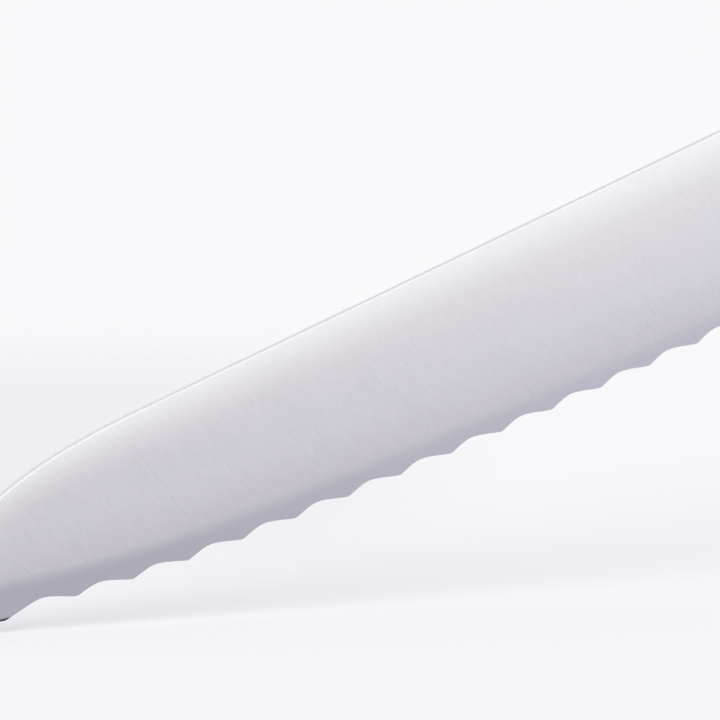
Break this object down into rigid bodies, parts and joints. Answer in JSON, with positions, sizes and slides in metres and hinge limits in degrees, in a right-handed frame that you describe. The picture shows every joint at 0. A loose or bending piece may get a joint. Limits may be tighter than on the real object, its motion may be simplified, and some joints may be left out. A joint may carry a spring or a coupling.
{
  "type": "bread knife",
  "caption": "Bread knife: full-tang satin steel blade with pointed scallops, bolster, riveted wooden handle scales and a lined hanging hole.",
  "frame": {"origin": "middle of the hanging hole, on the blade's middle plane", "axes": "+X from the tip towards the butt, parallel to the level spine; +Z from the cutting edge towards the spine; the blade's left face looks to -Y"},
  "size_m": [0.3509, 0.0176, 0.0336],
  "materials": {
    "blade_steel": "satin, fine grind lines across the blade",
    "bolster_steel": "finely polished satin",
    "handle_wood": "oiled dark hardwood",
    "rivet_steel": "ground flush, fine scratches",
    "tube_steel": "turned"
  },
  "bodies": {
    "root": {"blade": "blade_steel", "bolster_left": "bolster_steel", "bolster_right": "bolster_steel", "scale_left": "handle_wood", "scale_right": "handle_wood", "rivet_barrel_front": "rivet_steel", "rivet_barrel_middle": "rivet_steel", "rivet_barrel_rear": "rivet_steel", "rivet_pin_front": "rivet_steel", "rivet_pin_middle": "rivet_steel", "rivet_pin_rear": "rivet_steel", "hanging_tube": "tube_steel"}
  },
  "joints": []
}
